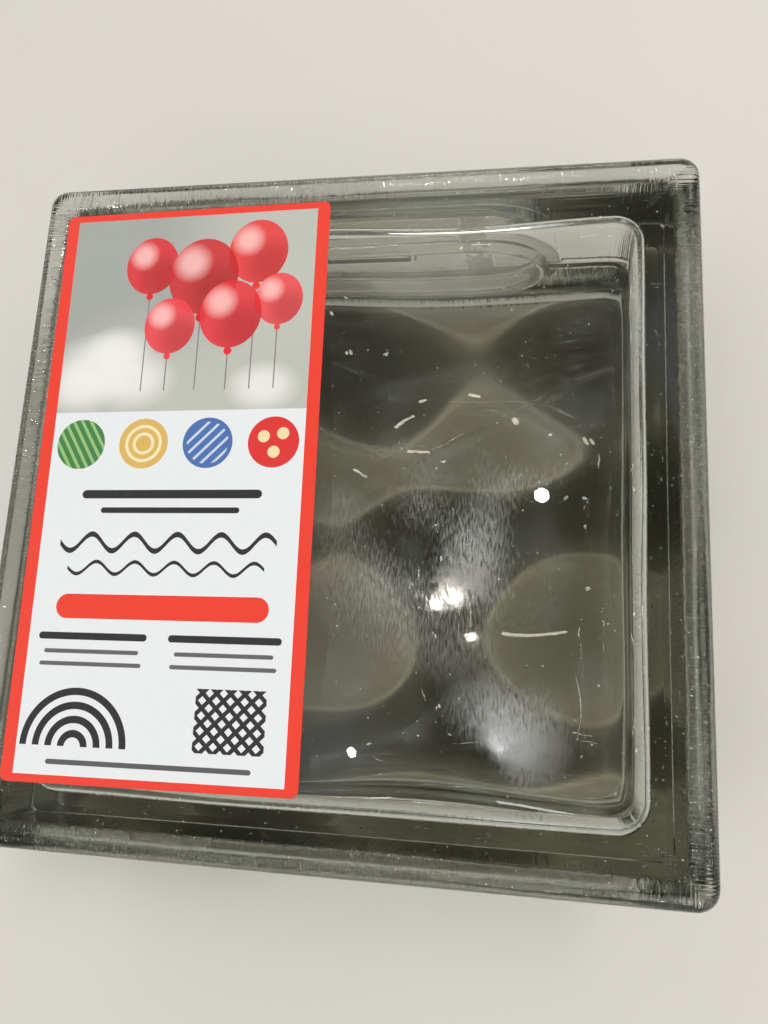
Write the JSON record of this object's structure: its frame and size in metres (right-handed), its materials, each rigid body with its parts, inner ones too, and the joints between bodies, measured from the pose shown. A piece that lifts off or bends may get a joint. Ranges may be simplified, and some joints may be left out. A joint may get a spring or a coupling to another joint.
{
  "type": "glass block",
  "caption": "Square hollow glass block with wavy inner faces, channelled edges, a moulded hole in one edge, a push-in clear plug with a coin slot, and a printed label.",
  "frame": {"origin": "centre of the back face, which the block lies on", "axes": "+Z from the back face to the labelled front face, +Y towards the edge with the hole, +X to the right as seen from the front"},
  "size_m": [0.19, 0.19, 0.0802],
  "materials": {
    "clear_glass": "fire-polished, clear with a grey-green depth in the thick edges",
    "clear_plastic": "clear to milky moulded plastic",
    "clear_tape": "thin clear adhesive tape",
    "printed_label": "satin printed paper"
  },
  "bodies": {
    "block": {"glass_block": "clear_glass", "label": "printed_label"},
    "stopper": {"plug": "clear_plastic", "tape_strip": "clear_tape"}
  },
  "joints": [
    {"name": "plug_pull", "type": "slide", "parent": "block", "child": "stopper", "axis": [0, 1, 0], "range_m": [0, 0.06]}
  ]
}
